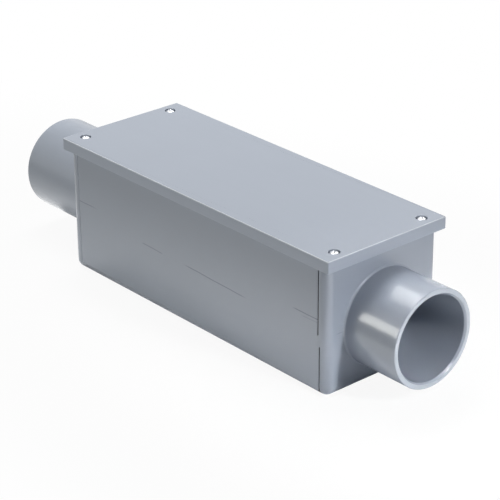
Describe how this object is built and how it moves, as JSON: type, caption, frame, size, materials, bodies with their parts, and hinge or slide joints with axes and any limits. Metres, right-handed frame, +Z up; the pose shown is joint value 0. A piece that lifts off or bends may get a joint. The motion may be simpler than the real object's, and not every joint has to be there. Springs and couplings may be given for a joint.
{
  "type": "conduit body",
  "caption": "Straight-through conduit body in grey rigid plastic: a long box with a socket hub at each end and a thick screwed cover over the wiring space.",
  "frame": {"origin": "middle of the box's flat underside", "axes": "+X along the conduit run towards the short hub, +Z up through the cover, Y across the box"},
  "size_m": [0.4814, 0.1288, 0.1227],
  "materials": {
    "body_plastic": "satin grey rigid plastic, as moulded",
    "cover_plastic": "satin grey rigid plastic, fine even grain",
    "gasket_rubber": "matt black rubber",
    "screw_steel": "bright stainless steel",
    "insert_brass": "machined brass"
  },
  "bodies": {
    "root": {"trough": "body_plastic", "end_cap_short_hub": "body_plastic", "end_cap_long_hub": "body_plastic", "cover": "cover_plastic", "cover_gasket": "gasket_rubber", "cover_screws": "screw_steel", "screw_inserts": "insert_brass"}
  },
  "joints": []
}
